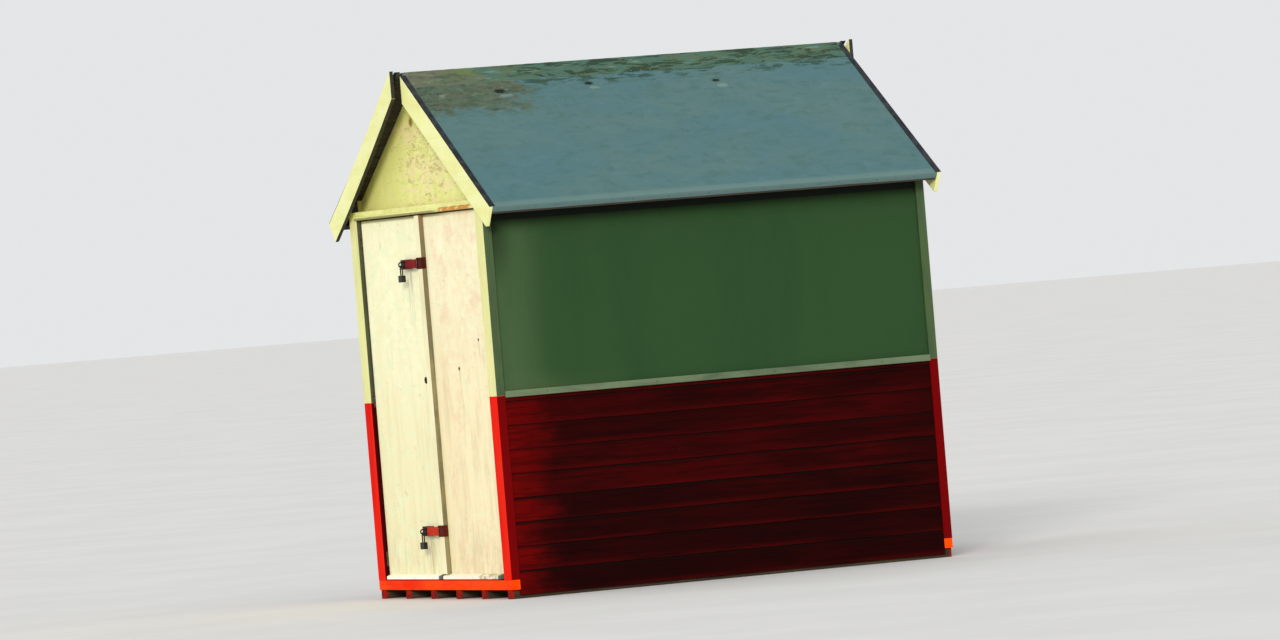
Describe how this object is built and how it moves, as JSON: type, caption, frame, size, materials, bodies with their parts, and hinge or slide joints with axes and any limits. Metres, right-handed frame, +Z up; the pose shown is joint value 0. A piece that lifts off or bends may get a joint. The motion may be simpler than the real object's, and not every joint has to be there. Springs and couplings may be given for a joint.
{
  "type": "beach hut",
  "caption": "Small timber beach hut with a pitched felt roof, plain double doors, hasps and padlocks, a sheeted upper wall and a boarded lower wall.",
  "frame": {"origin": "middle of the hut's footprint on the ground", "axes": "-Y out through the doors, +X to the right seen from the front, +Z up"},
  "size_m": [2.17, 2.6, 2.7035],
  "materials": {
    "bearer_timber": "matte",
    "bare_timber": "matte",
    "roof_boards": "matte",
    "red_paint": "satin",
    "cream_yellow_paint": "satin",
    "maroon_paint": "satin",
    "green_paint": "satin",
    "grey_green_paint": "matte",
    "teal_felt": "matte",
    "worn_felt": "matte",
    "black_felt": "matte",
    "hinge_steel": "matte",
    "cream_white_paint": "satin",
    "hasp_red": "satin",
    "dark_iron": "matte",
    "lock_steel": "matte",
    "worn_strip": "matte",
    "hasp_plate_red": "matte"
  },
  "bodies": {
    "hut": {"bearers": "bearer_timber", "floor_joists": "bare_timber", "floor_deck": "roof_boards", "plinths": "red_paint", "posts_lower": "red_paint", "posts_upper": "cream_yellow_paint", "side_boards": "maroon_paint", "back_boards": "maroon_paint", "side_sheets": "green_paint", "back_sheet": "green_paint", "waist_rails": "grey_green_paint", "wall_studs": "bare_timber", "wall_plates": "bare_timber", "head_beams": "cream_yellow_paint", "gable_feet": "bare_timber", "head_drip": "cream_yellow_paint", "gable_front": "cream_yellow_paint", "gable_back": "green_paint", "door_stops": "bare_timber", "ridge_board": "bare_timber", "rafters": "bare_timber", "deck_left": "roof_boards", "deck_right": "roof_boards", "eave_battens": "bare_timber", "felt_left": "teal_felt", "felt_right": "teal_felt", "ridge_strip": "worn_felt", "verge_left": "cream_yellow_paint", "verge_right": "cream_yellow_paint", "verge_caps": "black_felt", "hinge_posts": "hinge_steel"},
    "left_door": {"left_sheet": "cream_white_paint", "left_ledges": "bare_timber", "left_bar": "cream_white_paint", "left_hinges": "hinge_steel", "hasp_straps": "hasp_red", "hasp_staples": "dark_iron", "padlocks": "lock_steel", "key_plate": "dark_iron"},
    "right_door": {"right_sheet": "cream_white_paint", "right_ledges": "bare_timber", "right_bar": "cream_white_paint", "right_hinges": "hinge_steel", "meeting_strip": "worn_strip", "hasp_plates": "hasp_plate_red"}
  },
  "joints": [
    {"name": "left_door_hinge", "type": "hinge", "parent": "hut", "child": "left_door", "pos_m": [-0.81, -1.203, 1.03], "axis": [0, 0, -1], "range_deg": [0, 95]},
    {"name": "right_door_hinge", "type": "hinge", "parent": "hut", "child": "right_door", "pos_m": [0.81, -1.203, 1.03], "axis": [0, 0, 1], "range_deg": [0, 95]}
  ]
}
